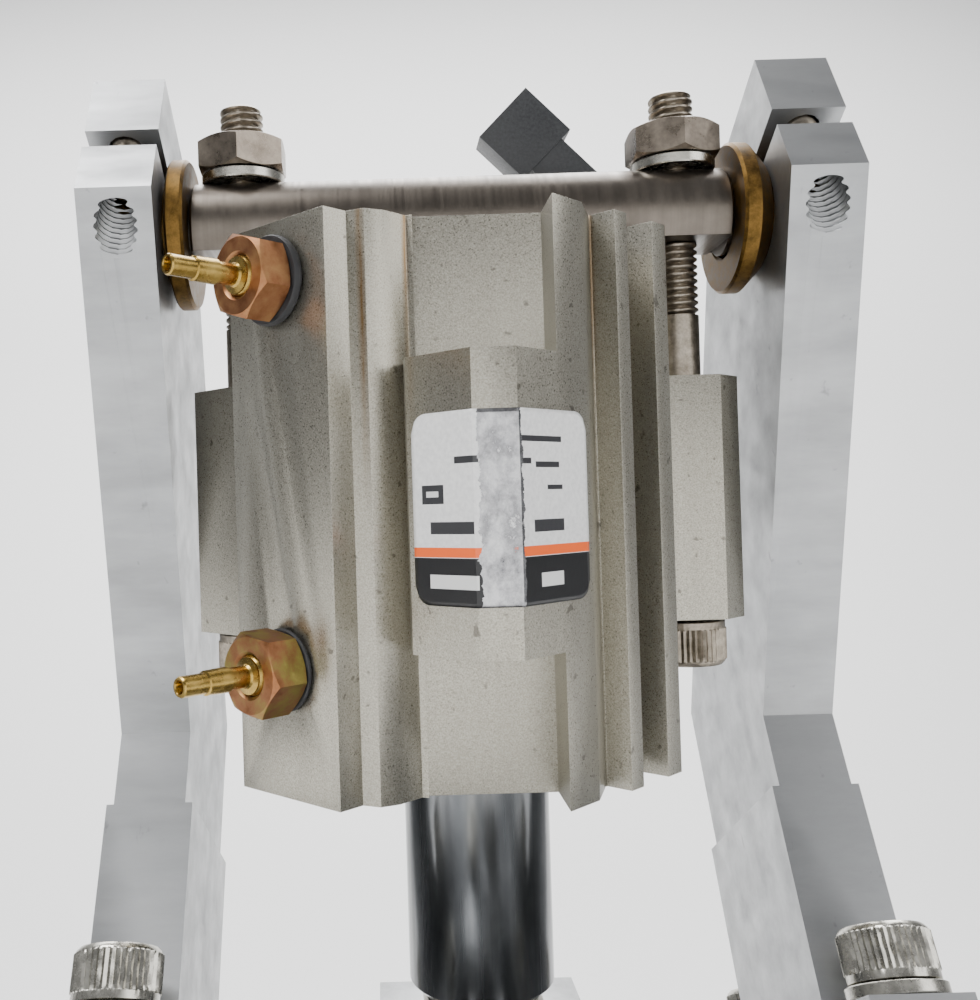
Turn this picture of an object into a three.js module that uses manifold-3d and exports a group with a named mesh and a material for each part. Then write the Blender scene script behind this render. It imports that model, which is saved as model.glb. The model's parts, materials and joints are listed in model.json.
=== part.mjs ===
// Angular pneumatic gripper. Two bent side arms stand on a palm plate and carry a compact air cylinder on a
// cross shaft. The cylinder's yoke turns a jaw lever under the palm plate against a fixed jaw.
// Units are millimetres, +Z up. The origin is the centre of the palm plate's rear mounting face and +Y points
// out of that face.
import * as THREE from 'three';
import { mergeVertices } from 'three/addons/utils/BufferGeometryUtils.js';
import Module from 'manifold-3d';

const wasm = await Module();
wasm.setup();

// ---------- driving dimensions ----------
const GAP = 0.3; // air left between neighbouring pieces
const BARREL_SIDES = 36; // facets of the barrel and its bore
const SIDES = 24; // facets of a large round
const SMALL_SIDES = 14; // facets of a screw or pin

// palm plate, measured from its top face (z = 0) and the middle of the arms' feet (y = 0)
const PALM = { halfWidth: 46, front: -44, rear: 40, thick: 12, corner: 6 };
const WINDOW = { halfWidth: 15, front: -21, rear: 28 };
const REAR_HOLE = { x: 25, r: 2.6, depth: 16 };

// side arms, in the plane of the arm's profile (y, z)
const ARM = { inner: 32.7, thick: 7.9, footExtra: 0.8, stepZ: 30.5 };
const BAR_HALF = 13.35; // half of the bar's width
const FOOT = { half: 25, thick: 8, screwY: 20.05 };
const ELBOW = { frontZ: 38.6, rearZ: 49.3 };
const HEAD = { frontY: -55.85, chamferZ: 81.1, topZ: 98.5, heelY: -26.85, heelLowY: -31.15, heelLowZ: 94 };
const SLOT = { low: 87.5, high: 90 };
const CLAMP = { y: -53.05, r: 2, headR: 2.6, seat: 95.4, tip: 84 };

// air cylinder, in its own frame: origin at the middle of the body, +z towards the rear end
const TILT = THREE.MathUtils.degToRad(32.35); // lean of the cylinder's axis from vertical
const BODY_CENTRE = new THREE.Vector3(-0.45, -28.85, 58.5);
const BODY_HALF = 27.13; // half of the body's length
const LOBE_HALF = 13.2; // half of the corner lobes' length
const FACE = 22.5; // axis to a side face
const LOBE_WIDE = 12.2; // axis to a broad lobe's flank, along a side face
const LOBE_NARROW = 16; // the same for the lobe beside the sensor rails
const LOBE_ROOT = 5; // depth of a flank below the side face
const LOBE_CHAMFER = 2.7;
const BOLT = 17; // axis to a bolt, along each face
const BOLT_X = BOLT * Math.SQRT2; // the same bolt once the body is turned 45 degrees
const BOLT_HOLE_R = 2.75;
const POCKET = { half: 6.06, floor: 19.4 }; // flat cut beside a bolt, measured from the axis
const BARREL_R = 21.1;
const BORE_R = 16;
const SEAT_R = 17; // bore of the cover and gland seats
const RIB = { half: 7, face: 27, ledgeHalf: 8.7, ledge: 23.6, chamfer: 21.8, footHalf: 9.4 };
const STRIP = { from: -16, edge: -9.4, foot: -4.8, footFace: 20.2 }; // flat beside the front lobe
const RAIL = { top: 23.1, floor: 18.4, bars: [[-4.9, -2.85], [1.7, 4.2]] };
const PORTS = [
  { end: 'rear', z: 21.5, sealR: 4.25, seal: 0.9 },
  { end: 'front', z: -15, sealR: 3.9, seal: 0.4 },
];
const PORT_R = 2.2;
const FITTING = {
  flats: 7.2, hexTop: 4.35, end: 11.85, threadR: 1.9, thread: 4, neckR: 1, barbR: 1.15, boreR: 0.6,
};
const COVER = { z0: 22.5, z1: 27.9 };
const GLAND = { z0: -26, z1: -17.7 };
const LABEL = { start: 12.9, end: -10, low: -8.7, high: 8.1 };
const SWITCH = {
  halfWidth: 3.2, outer: 31.3, low: -4, high: 20,
  foot: { x: 20.3, y: 21.4 }, neckHalf: 2.1, neckTop: 39.3, leanZ: 38.8,
};

// cross shaft and its fasteners, in the cylinder's frame
const SHAFT = { z: 31, r: 5.55, x0: -29.4, x1: 29.1, flat: 28.2, journalR: 4, journalX: 41, seat: 36.1 };
const SCREW = { r: 2.4, headR: 4.25, headH: 4.9, end: 45 };
const WASHER = { r: 4.6, hole: 2.8, thick: 1.1 };
const NUT = { flats: 9.2, thick: 3.6 };
const BUSH = {
  hole: 4.25, sleeve: 5.5, flange: 8.2, flangeT: 1.9, neck: 6.3, leftFace: 30.1, rightFace: 28.9,
};

// rod side, in the cylinder's frame
const ROD = { r: 8, end: -54, chamfer: 1.6, shoulder: -13.3, spigot: 4.9, spigotEnd: 3.5 };
const PISTON = { r: 15.6, z0: -13, z1: 4, hole: 5.2 };
const STUD = { r: 3.1, z0: -63.5, z1: -41 };
const LOCK_NUT = { flats: 13, z0: -56.9, z1: -54.3 };
const YOKE = { halfX: 11.5, halfY: 9, top: -57.2, slotTop: -64, pinZ: -74, end: -82, slotHalf: 5.4 };
const CLEVIS_PIN = { r: 3, halfX: 13.6 };

// jaw side
const LEVER = { length: 30, eyeR: 7, hubR: 7.7, thickHalf: 4.5, hubHalf: 15.4 };
const CLOSING_TRAVEL = 4; // rod travel left between the rest pose and jaws shut
const LEVER_RATIO = 0.0351; // radians of jaw turn for each millimetre of rod travel
const REST_OPEN = CLOSING_TRAVEL * LEVER_RATIO;
const EYE = { half: 3.5, long: 3.2 };
const FINGER = { halfX: 11, front: -9, rear: 6, tip: -62, tipRear: -1 };
const PAD = { thick: 2.8, low: -60, high: -32 };
const PIVOT = { r: 4, halfX: 26, bushR: 6 };
const BRACKET = { x0: 16, x1: 24, halfY: 9, low: -30 };
const FIXED = { rear: -30, front: -42, halfX: 13, tip: -82, screwX: 8 };
const PAD_SCREWS = [-39, -53]; // heights of the screws through the finger

// ---------- places worked out from the dimensions ----------
const FIXED_SCREW_Y = (FIXED.front + FIXED.rear) / 2;
const ARM_MIDDLE = ARM.inner + ARM.thick / 2;
const AXIS_Y = new THREE.Vector2(Math.cos(TILT), Math.sin(TILT)); // cylinder's +y in (y, z)
const AXIS_Z = new THREE.Vector2(-Math.sin(TILT), Math.cos(TILT)); // cylinder's +z in (y, z)
function onAxis(z) {
  return new THREE.Vector2(BODY_CENTRE.y, BODY_CENTRE.z).addScaledVector(AXIS_Z, z);
}
const TRUNNION = onAxis(SHAFT.z);
const CLEVIS = onAxis(YOKE.pinZ);
const JAW_AXIS = CLEVIS.clone().addScaledVector(AXIS_Y, -LEVER.length);

// ---------- solids ----------
function solidOf(geometry) {
  const bare = geometry.clone();
  bare.deleteAttribute('normal');
  bare.deleteAttribute('uv');
  const merged = mergeVertices(bare, 1e-4);
  const mesh = new wasm.Mesh({
    numProp: 3,
    vertProperties: Float32Array.from(merged.attributes.position.array),
    triVerts: Uint32Array.from(merged.index.array),
  });
  return new wasm.Manifold(mesh);
}

function box(x0, x1, y0, y1, z0, z1) {
  const geometry = new THREE.BoxGeometry(x1 - x0, y1 - y0, z1 - z0);
  geometry.translate((x0 + x1) / 2, (y0 + y1) / 2, (z0 + z1) / 2);
  return solidOf(geometry);
}

function extruded(shape, depth, matrix, curveSegments = 8) {
  const geometry = new THREE.ExtrudeGeometry(shape, { depth, bevelEnabled: false, curveSegments });
  geometry.applyMatrix4(matrix);
  return solidOf(geometry);
}

function shapeOf(points) {
  return new THREE.Shape(points.map(([a, b]) => new THREE.Vector2(a, b)));
}

function prismZ(points, z0, z1) {
  return extruded(shapeOf(points), z1 - z0, new THREE.Matrix4().makeTranslation(0, 0, z0));
}

// A profile drawn in (y, z) and extruded along x.
function prismX(points, x0, x1) {
  const turn = new THREE.Matrix4().makeBasis(
    new THREE.Vector3(0, 1, 0),
    new THREE.Vector3(0, 0, 1),
    new THREE.Vector3(1, 0, 0),
  );
  turn.setPosition(x0, 0, 0);
  return extruded(shapeOf(points), x1 - x0, turn);
}

function rodZ(r, z0, z1, x = 0, y = 0, sides = SIDES) {
  const geometry = new THREE.CylinderGeometry(r, r, z1 - z0, sides);
  geometry.rotateX(Math.PI / 2);
  geometry.translate(x, y, (z0 + z1) / 2);
  return solidOf(geometry);
}

function rodX(r, x0, x1, y, z, sides = SIDES) {
  const geometry = new THREE.CylinderGeometry(r, r, x1 - x0, sides);
  geometry.rotateZ(Math.PI / 2);
  geometry.translate((x0 + x1) / 2, y, z);
  return solidOf(geometry);
}

function rodY(r, y0, y1, x, z, sides = SMALL_SIDES) {
  const geometry = new THREE.CylinderGeometry(r, r, y1 - y0, sides);
  geometry.translate(x, (y0 + y1) / 2, z);
  return solidOf(geometry);
}

// A body of revolution about z from [radius, z] pairs that start and end on the axis.
function latheZ(profile, sides = SIDES) {
  const geometry = new THREE.LatheGeometry(profile.map(([r, z]) => new THREE.Vector2(r, z)), sides);
  geometry.rotateX(Math.PI / 2);
  return solidOf(geometry);
}

function hexagon(flats) {
  const corner = flats / Math.sqrt(3);
  return Array.from({ length: 6 }, (_, i) => {
    const angle = (i * Math.PI) / 3;
    return [corner * Math.cos(angle), corner * Math.sin(angle)];
  });
}

function hexZ(flats, z0, z1, x = 0, y = 0) {
  return prismZ(hexagon(flats).map(([a, b]) => [a + x, b + y]), z0, z1);
}

function ringZ(outer, inner, z0, z1, x = 0, y = 0, sides = SMALL_SIDES) {
  return rodZ(outer, z0, z1, x, y, sides).subtract(rodZ(inner, z0 - 1, z1 + 1, x, y, sides));
}

function ringX(outer, inner, x0, x1, y, z, sides = SMALL_SIDES) {
  return rodX(outer, x0, x1, y, z, sides).subtract(rodX(inner, x0 - 1, x1 + 1, y, z, sides));
}

function mirrored(solid) {
  return solid.mirror([1, 0, 0]);
}

// Socket head cap screw along z, its head seated at seat and its shank ending at tip, above or below.
function capScrew({ x, y, seat, tip, r, headR, headH }) {
  const up = Math.sign(seat - tip);
  const top = seat + up * headH;
  const low = Math.min(seat, top);
  const high = Math.max(seat, top);
  const head = rodZ(headR, low, high, x, y, SMALL_SIDES);
  const root = seat + up * 0.5;
  const shank = rodZ(r, Math.min(tip, root), Math.max(tip, root), x, y, SMALL_SIDES);
  const keyDepth = headH * 0.5;
  const keyEnds = [top - up * keyDepth, top + up];
  const key = hexZ(headR, Math.min(...keyEnds), Math.max(...keyEnds), x, y);
  return head.add(shank).subtract(key);
}

// ---------- scene graph ----------
function finish(color, roughness, metalness) {
  return new THREE.MeshStandardMaterial({ color, roughness, metalness });
}

const FINISH = {
  armAluminium: finish(0xb4b5b6, 0.42, 0.9),
  bodyAluminium: finish(0xa5a090, 0.5, 0.85),
  steel: finish(0x7d746b, 0.35, 1),
  chrome: finish(0x3f4548, 0.12, 1),
  bronze: finish(0x7a5a2a, 0.45, 0.9),
  brass: finish(0xb08d45, 0.3, 1),
  copper: finish(0x96603f, 0.45, 0.9),
  zinc: finish(0xb0aa90, 0.3, 1),
  rubber: finish(0x151515, 0.8, 0),
  plastic: finish(0x2c2e30, 0.55, 0),
  magnet: finish(0x3a3836, 0.6, 0.3),
  label: finish(0xd5d5d2, 0.4, 0),
  urethane: finish(0x3b2c22, 0.7, 0),
};

function addPart(group, name, solid, material) {
  const { numProp, vertProperties, triVerts } = solid.getMesh();
  if (numProp !== 3) {
    throw new Error(`${name} has more than positions`);
  }
  const geometry = new THREE.BufferGeometry();
  geometry.setAttribute('position', new THREE.BufferAttribute(Float32Array.from(vertProperties), 3));
  geometry.setIndex(new THREE.BufferAttribute(Uint32Array.from(triVerts), 1));
  geometry.computeVertexNormals();
  const mesh = new THREE.Mesh(geometry, material);
  mesh.name = name;
  group.add(mesh);
  return mesh;
}

const gripper = new THREE.Group();
gripper.position.set(0, -PALM.rear, PALM.thick / 2);

const cylinder = new THREE.Group();
cylinder.position.copy(BODY_CENTRE);
cylinder.rotation.x = TILT;
gripper.add(cylinder);

const square = new THREE.Group(); // the body's side faces square to x and y, before the 45 degree turn
square.rotation.z = -Math.PI / 4;
cylinder.add(square);

const jaw = new THREE.Group(); // jaw frame: origin on the jaw's axis, upright when the jaws are shut
jaw.position.set(0, JAW_AXIS.x, JAW_AXIS.y);
jaw.rotation.x = REST_OPEN;
gripper.add(jaw);

// ---------- palm plate and frame ----------
function palmPlate() {
  const { halfWidth: w, front, rear, thick, corner: c } = PALM;
  const outline = [
    [-w + c, front], [w - c, front], [w, front + c], [w, rear],
    [-w, rear], [-w, front + c],
  ];
  let plate = prismZ(outline, -thick, 0);
  plate = plate.subtract(box(-WINDOW.halfWidth, WINDOW.halfWidth, WINDOW.front, WINDOW.rear, -thick - 1, 1));
  const throughHoles = [];
  for (const side of [-1, 1]) {
    throughHoles.push([side * ARM_MIDDLE, -FOOT.screwY], [side * ARM_MIDDLE, FOOT.screwY]);
    throughHoles.push([side * (BRACKET.x0 + BRACKET.x1) / 2, JAW_AXIS.x]);
    throughHoles.push([side * FIXED.screwX, FIXED_SCREW_Y]);
  }
  for (const [x, y] of throughHoles) {
    plate = plate.subtract(rodZ(2.5 + GAP, -thick - 1, 1, x, y, SMALL_SIDES));
  }
  for (const side of [-1, 1]) {
    const deep = rear - REAR_HOLE.depth;
    plate = plate.subtract(rodY(REAR_HOLE.r, deep, rear + 1, side * REAR_HOLE.x, -thick / 2));
  }
  return plate;
}

function armProfile() {
  return [
    [-FOOT.half, 0], [FOOT.half, 0], [FOOT.half, FOOT.thick], [BAR_HALF, FOOT.thick],
    [BAR_HALF, ELBOW.rearZ], [HEAD.heelLowY, HEAD.heelLowZ], [HEAD.heelY, HEAD.topZ],
    [HEAD.frontY, HEAD.topZ], [HEAD.frontY, HEAD.chamferZ], [-BAR_HALF, ELBOW.frontZ],
    [-BAR_HALF, FOOT.thick], [-FOOT.half, FOOT.thick],
  ];
}

function rightArm() {
  const outer = ARM.inner + ARM.thick;
  const thinFrom = ARM.inner;
  let arm = prismX(armProfile(), thinFrom, outer);
  const footProfile = [
    [-FOOT.half, 0], [FOOT.half, 0], [FOOT.half, FOOT.thick], [BAR_HALF, FOOT.thick],
    [BAR_HALF, ARM.stepZ], [-BAR_HALF, ARM.stepZ], [-BAR_HALF, FOOT.thick], [-FOOT.half, FOOT.thick],
  ];
  arm = arm.add(prismX(footProfile, ARM.inner - ARM.footExtra, outer + ARM.footExtra));
  arm = arm.subtract(rodX(BUSH.sleeve + GAP, thinFrom - 1, outer + 1, TRUNNION.x, TRUNNION.y));
  arm = arm.subtract(box(thinFrom - 1, outer + 1, HEAD.frontY - 1, TRUNNION.x, SLOT.low, SLOT.high));
  arm = arm.subtract(rodZ(CLAMP.r, ELBOW.frontZ, HEAD.topZ + 1, ARM_MIDDLE, CLAMP.y, SMALL_SIDES));
  arm = arm.subtract(rodZ(CLAMP.headR, CLAMP.seat, HEAD.topZ + 1, ARM_MIDDLE, CLAMP.y, SMALL_SIDES));
  for (const y of [-FOOT.screwY, FOOT.screwY]) {
    arm = arm.subtract(rodZ(2.5 + GAP, -1, FOOT.thick + 1, ARM_MIDDLE, y, SMALL_SIDES));
  }
  return arm;
}

// Flanged bush for the right arm; face is the distance from the mid-plane to the flange's inner face.
function flangedBush(face) {
  const outer = ARM.inner + ARM.thick;
  const taper = [
    [0, face], [BUSH.flange, face], [BUSH.flange, face + BUSH.flangeT], [BUSH.neck, ARM.inner - GAP],
    [0, ARM.inner - GAP],
  ];
  const flange = latheZ(taper).rotate([0, 90, 0]).translate([0, TRUNNION.x, TRUNNION.y]);
  const sleeve = rodX(BUSH.sleeve, face + 0.5, outer, TRUNNION.x, TRUNNION.y);
  const hole = rodX(BUSH.hole, face - 1, outer + 1, TRUNNION.x, TRUNNION.y);
  return flange.add(sleeve).subtract(hole);
}

function footScrew(x, y) {
  const seat = FOOT.thick + 0.1 + 1.2 + 0.1;
  return capScrew({ x, y, seat, tip: -9, r: 2.5, headR: 4.3, headH: 5 });
}

function bracket() {
  const { x0, x1, halfY, low } = BRACKET;
  const y = JAW_AXIS.x;
  const top = -PALM.thick - 0.1;
  const foot = 3;
  const profile = [
    [y - halfY, top], [y - halfY, JAW_AXIS.y], [y - halfY + foot, low],
    [y + halfY - foot, low], [y + halfY, JAW_AXIS.y], [y + halfY, top],
  ];
  let block = prismX(profile.reverse(), x0, x1);
  block = block.subtract(rodX(PIVOT.r + GAP, x0 - 1, x1 + 1, y, JAW_AXIS.y, SMALL_SIDES));
  return block.subtract(rodZ(1.9, JAW_AXIS.y + PIVOT.r + 0.6, 1, (x0 + x1) / 2, y, SMALL_SIDES));
}

function fixedJaw() {
  const top = -PALM.thick - 0.1;
  const toe = 5;
  const profile = [
    [FIXED.front, top], [FIXED.front, FIXED.tip + 14], [FIXED.front + toe, FIXED.tip],
    [FIXED.rear, FIXED.tip], [FIXED.rear, top],
  ];
  let block = prismX(profile, -FIXED.halfX, FIXED.halfX);
  for (const side of [-1, 1]) {
    const x = side * FIXED.screwX;
    block = block.subtract(rodZ(2.5 + GAP, top - 12, top + 1, x, FIXED_SCREW_Y, SMALL_SIDES));
  }
  return block;
}

// Gripping pad with saw teeth on its working face, drawn with the face towards +y.
function toothedPad(faceY, backY, low, high, halfX) {
  const teeth = 8;
  const pitch = (high - low) / teeth;
  const depth = 0.7;
  const points = [[backY, low]];
  for (let i = 0; i < teeth; i += 1) {
    points.push([faceY, low + i * pitch]);
    points.push([faceY - Math.sign(faceY - backY) * depth, low + (i + 1) * pitch]);
  }
  points.push([backY, high]);
  const outline = points.map(([a, b]) => new THREE.Vector2(a, b));
  return prismX(THREE.ShapeUtils.isClockWise(outline) ? points.reverse() : points, -halfX, halfX);
}

addPart(gripper, 'palm_plate', palmPlate(), FINISH.armAluminium);
const arm = rightArm();
addPart(gripper, 'arm_right', arm, FINISH.armAluminium);
addPart(gripper, 'arm_left', mirrored(arm), FINISH.armAluminium);
addPart(gripper, 'flanged_bush_right', flangedBush(BUSH.rightFace), FINISH.bronze);
addPart(gripper, 'flanged_bush_left', mirrored(flangedBush(BUSH.leftFace)), FINISH.bronze);

for (const [sideName, side] of [['left', -1], ['right', 1]]) {
  const x = side * ARM_MIDDLE;
  const clampScrew = capScrew({
    x, y: CLAMP.y, seat: CLAMP.seat + 0.1, tip: CLAMP.tip,
    r: CLAMP.r - GAP, headR: CLAMP.headR - GAP, headH: 2.6,
  });
  addPart(gripper, `clamp_screw_${sideName}`, clampScrew, FINISH.steel);
  for (const [endName, y] of [['front', -FOOT.screwY], ['rear', FOOT.screwY]]) {
    addPart(gripper, `foot_screw_${endName}_${sideName}`, footScrew(x, y), FINISH.zinc);
    const washer = ringZ(WASHER.r, 2.8, FOOT.thick + 0.1, FOOT.thick + 1.3, x, y);
    addPart(gripper, `foot_lock_washer_${endName}_${sideName}`, washer, FINISH.zinc);
  }
  const half = bracket();
  addPart(gripper, `pivot_bracket_${sideName}`, side > 0 ? half : mirrored(half), FINISH.armAluminium);
  const bracketX = side * (BRACKET.x0 + BRACKET.x1) / 2;
  const bracketScrew = capScrew({
    x: bracketX, y: JAW_AXIS.x, seat: 0.1, tip: JAW_AXIS.y + PIVOT.r + 0.9, r: 1.6, headR: 3.3, headH: 3.5,
  });
  addPart(gripper, `bracket_screw_${sideName}`, bracketScrew, FINISH.zinc);
  const jawScrew = capScrew({
    x: side * FIXED.screwX, y: FIXED_SCREW_Y, seat: 0.1, tip: -PALM.thick - 11, r: 2.5, headR: 4.25, headH: 5,
  });
  addPart(gripper, `fixed_jaw_screw_${sideName}`, jawScrew, FINISH.zinc);
  const clipX = BRACKET.x1 + 0.4;
  const clip = ringX(6, PIVOT.r + GAP, clipX, clipX + 0.8, JAW_AXIS.x, JAW_AXIS.y);
  addPart(gripper, `pivot_clip_${sideName}`, side > 0 ? clip : mirrored(clip), FINISH.steel);
}

addPart(gripper, 'fixed_jaw', fixedJaw(), FINISH.armAluminium);
const fixedFace = JAW_AXIS.x + FINGER.front - PAD.thick - 0.2 - 0.4;
const fixedPad = toothedPad(
  fixedFace, FIXED.rear + 0.1, JAW_AXIS.y + PAD.low, JAW_AXIS.y + PAD.high, FINGER.halfX,
);
addPart(gripper, 'fixed_pad', fixedPad, FINISH.urethane);
const pivotPin = rodX(PIVOT.r, -PIVOT.halfX, PIVOT.halfX, JAW_AXIS.x, JAW_AXIS.y, SMALL_SIDES);
addPart(gripper, 'pivot_pin', pivotPin, FINISH.steel);

// ---------- air cylinder ----------
// Corner lobe on the +p, +q corner, with its outer corner chamfered and its flanks at 45 degrees.
function lobeOutline(pIn, qIn) {
  return [
    [FACE - LOBE_ROOT, qIn - LOBE_ROOT], [FACE, qIn], [FACE, FACE - LOBE_CHAMFER],
    [FACE - LOBE_CHAMFER, FACE], [pIn, FACE], [pIn - LOBE_ROOT, FACE - LOBE_ROOT],
  ];
}

// Pair of sensor rails on the +p side.
function railPair(z0, z1) {
  const [first, second] = RAIL.bars.map(([q0, q1]) => box(10, RAIL.top, q0, q1, z0, z1));
  return first.add(second);
}

// Rib that carries the ports, on the -q side.
function portRib(z0, z1) {
  const { half, face, ledgeHalf, ledge, chamfer, footHalf } = RIB;
  return prismZ([
    [-footHalf, -10], [-footHalf, -chamfer], [-ledgeHalf, -ledge], [-half, -ledge - 0.6], [-half, -face],
    [half, -face], [half, -ledge - 0.6], [ledgeHalf, -ledge], [footHalf, -chamfer], [footHalf, -10],
  ], z0, z1);
}

// Flat-bottomed cut that clears a bolt and runs out through the body's corner.
function cornerPocket(sp, sq, z0, z1) {
  const angle = THREE.MathUtils.radToDeg(Math.atan2(sq, sp));
  return box(POCKET.floor, 40, -POCKET.half, POCKET.half, z0, z1).rotate([0, 0, angle]);
}

function cylinderBody() {
  const z0 = -BODY_HALF;
  const z1 = BODY_HALF;
  let body = rodZ(BARREL_R, z0, z1, 0, 0, BARREL_SIDES);
  body = body.add(portRib(z0, z1));
  body = body.add(box(-FACE, -10, -RIB.half, RIB.half, z0, z1));
  body = body.add(prismZ([
    [10, STRIP.from], [FACE, STRIP.from], [FACE, STRIP.edge], [STRIP.footFace, STRIP.foot], [10, STRIP.foot],
  ], z0, z1));
  const rails = railPair(z0, z1);
  const slot = box(RAIL.floor, 40, RAIL.bars[0][1], RAIL.bars[1][0], z0 - 1, z1 + 1);
  for (const turn of [0, 90]) {
    body = body.add(rails.rotate([0, 0, turn]));
    body = body.subtract(slot.rotate([0, 0, turn]));
  }
  const corners = [[1, -1, LOBE_WIDE], [1, 1, LOBE_NARROW], [-1, 1, LOBE_WIDE], [-1, -1, LOBE_WIDE]];
  for (const [sp, sq, qIn] of corners) {
    body = body.subtract(cornerPocket(sp, sq, LOBE_HALF, z1 + 1));
    body = body.subtract(cornerPocket(sp, sq, z0 - 1, -LOBE_HALF));
    let outline = lobeOutline(LOBE_WIDE, qIn).map(([p, q]) => [p * sp, q * sq]);
    if (sp * sq < 0) {
      outline = outline.reverse();
    }
    body = body.add(prismZ(outline, -LOBE_HALF, LOBE_HALF));
    body = body.subtract(rodZ(BOLT_HOLE_R, z0 - 1, z1 + 1, sp * BOLT, sq * BOLT, SMALL_SIDES));
  }
  body = body.subtract(rodZ(BORE_R, z0 - 1, z1 + 1, 0, 0, BARREL_SIDES));
  body = body.subtract(rodZ(SEAT_R, COVER.z0 - GAP, z1 + 1, 0, 0, BARREL_SIDES));
  body = body.subtract(rodZ(SEAT_R, z0 - 1, GLAND.z1 + GAP, 0, 0, BARREL_SIDES));
  for (const port of PORTS) {
    body = body.subtract(rodY(PORT_R, -RIB.face - 1, -BORE_R + 2, 0, port.z));
  }
  return body;
}

function crossShaft() {
  let shaft = rodX(SHAFT.r, SHAFT.x0, SHAFT.x1, 0, SHAFT.z);
  shaft = shaft.add(rodX(SHAFT.journalR, -SHAFT.journalX, SHAFT.journalX, 0, SHAFT.z));
  shaft = shaft.subtract(box(SHAFT.x0 - 0.1, SHAFT.x1 + 0.1, -10, 10, SHAFT.z - 10, SHAFT.flat));
  for (const x of [-BOLT_X, BOLT_X]) {
    shaft = shaft.subtract(rodZ(BOLT_HOLE_R, SHAFT.z - 10, SHAFT.z + 10, x, 0, SMALL_SIDES));
    shaft = shaft.subtract(box(x - 5.2, x + 5.2, -10, 10, SHAFT.seat, SHAFT.seat + 5));
  }
  return shaft;
}

// Barbed hose fitting along z: thread below its seat (z = 0), hexagon and barb above.
function hoseFitting(seal) {
  const { flats, hexTop, end, threadR, thread, neckR, barbR, boreR } = FITTING;
  const stem = latheZ([
    [0, -thread], [threadR, -thread], [threadR, seal + 1], [neckR, seal + 1], [neckR, hexTop + 2.4],
    [barbR, hexTop + 2.5], [neckR, hexTop + 4.8], [barbR, hexTop + 4.9], [neckR, end], [0, end],
  ], SMALL_SIDES);
  const hex = hexZ(flats, seal + 0.15, hexTop);
  return stem.add(hex).subtract(rodZ(boreR, -thread - 1, end + 1, 0, 0, 12));
}

function ratingLabel() {
  const near = 0.05;
  const far = 0.25;
  const path = (d) => [
    [LABEL.start, -FACE - d], [FACE - LOBE_CHAMFER + d * 0.41, -FACE - d],
    [FACE + d, -FACE + LOBE_CHAMFER - d * 0.41], [FACE + d, LABEL.end],
  ];
  const outline = [...path(far), ...path(near).reverse()];
  return prismZ(outline, LABEL.low, LABEL.high);
}

// Magnetic position switch: a body on the rear rails, and a moulded neck up to a flat plug head.
function positionSwitch() {
  const { halfWidth, outer, low, high, foot, neckHalf, neckTop, leanZ } = SWITCH;
  const body = box(-halfWidth, halfWidth, RAIL.top + GAP, outer, low, high).rotate([0, 0, -45]);
  const neck = box(-neckHalf, neckHalf, -neckHalf, neckHalf, high - 1, neckTop)
    .translate([foot.x, foot.y, 0]);
  const length = 10;
  const lean = new THREE.BoxGeometry(5.6, 4.7, length + 6);
  lean.translate(0, 0, length / 2);
  lean.rotateY(-Math.PI / 4);
  lean.translate(foot.x - 0.4, foot.y + 0.2, leanZ);
  const head = new THREE.BoxGeometry(8.8, 5, 8);
  head.translate(0, 0, length + 3.2);
  head.rotateY(-Math.PI / 4);
  head.translate(foot.x - 0.4, foot.y + 0.2, leanZ);
  return body.add(neck).add(solidOf(lean)).add(solidOf(head));
}

addPart(square, 'cylinder_body', cylinderBody(), FINISH.bodyAluminium);
addPart(square, 'rating_label', ratingLabel(), FINISH.label);
const rearCover = rodZ(SEAT_R - GAP, COVER.z0, COVER.z1, 0, 0, BARREL_SIDES);
addPart(cylinder, 'rear_cover', rearCover, FINISH.bodyAluminium);
addPart(cylinder, 'position_switch', positionSwitch(), FINISH.plastic);
addPart(cylinder, 'cross_shaft', crossShaft(), FINISH.steel);

const glandSolid = ringZ(SEAT_R - GAP, ROD.r + GAP, GLAND.z0, GLAND.z1, 0, 0, SIDES)
  .subtract(rodZ(10.5, GLAND.z0 - 1, GLAND.z0 + 3.2, 0, 0, SIDES));
addPart(cylinder, 'rod_gland', glandSolid, FINISH.bodyAluminium);
const rodSeal = ringZ(10.2, ROD.r + GAP, GLAND.z0 + 0.2, GLAND.z0 + 3, 0, 0, SIDES);
addPart(cylinder, 'rod_seal', rodSeal, FINISH.rubber);
const snapRing = ringZ(SEAT_R - GAP, 14.2, -BODY_HALF + 0.1, GLAND.z0 - 0.2, 0, 0, SIDES)
  .subtract(box(-3, 3, 10, 20, -BODY_HALF - 1, GLAND.z0));
addPart(cylinder, 'gland_snap_ring', snapRing, FINISH.steel);

for (const [sideName, side] of [['left', -1], ['right', 1]]) {
  const x = side * BOLT_X;
  const longScrew = capScrew({
    x, y: 0, seat: -LOBE_HALF - GAP, tip: SCREW.end, r: SCREW.r, headR: SCREW.headR, headH: SCREW.headH,
  });
  addPart(cylinder, `long_screw_${sideName}`, longScrew, FINISH.steel);
  const washerZ = SHAFT.seat + 0.2;
  const washer = ringZ(WASHER.r, WASHER.hole, washerZ, washerZ + WASHER.thick, x, 0);
  addPart(cylinder, `nut_lock_washer_${sideName}`, washer, FINISH.zinc);
  const nutZ = washerZ + WASHER.thick + 0.2;
  const nut = hexZ(NUT.flats, nutZ, nutZ + NUT.thick, x, 0)
    .subtract(rodZ(WASHER.hole, nutZ - 1, nutZ + NUT.thick + 1, x, 0, SMALL_SIDES));
  addPart(cylinder, `nut_${sideName}`, nut, FINISH.steel);
}

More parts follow.
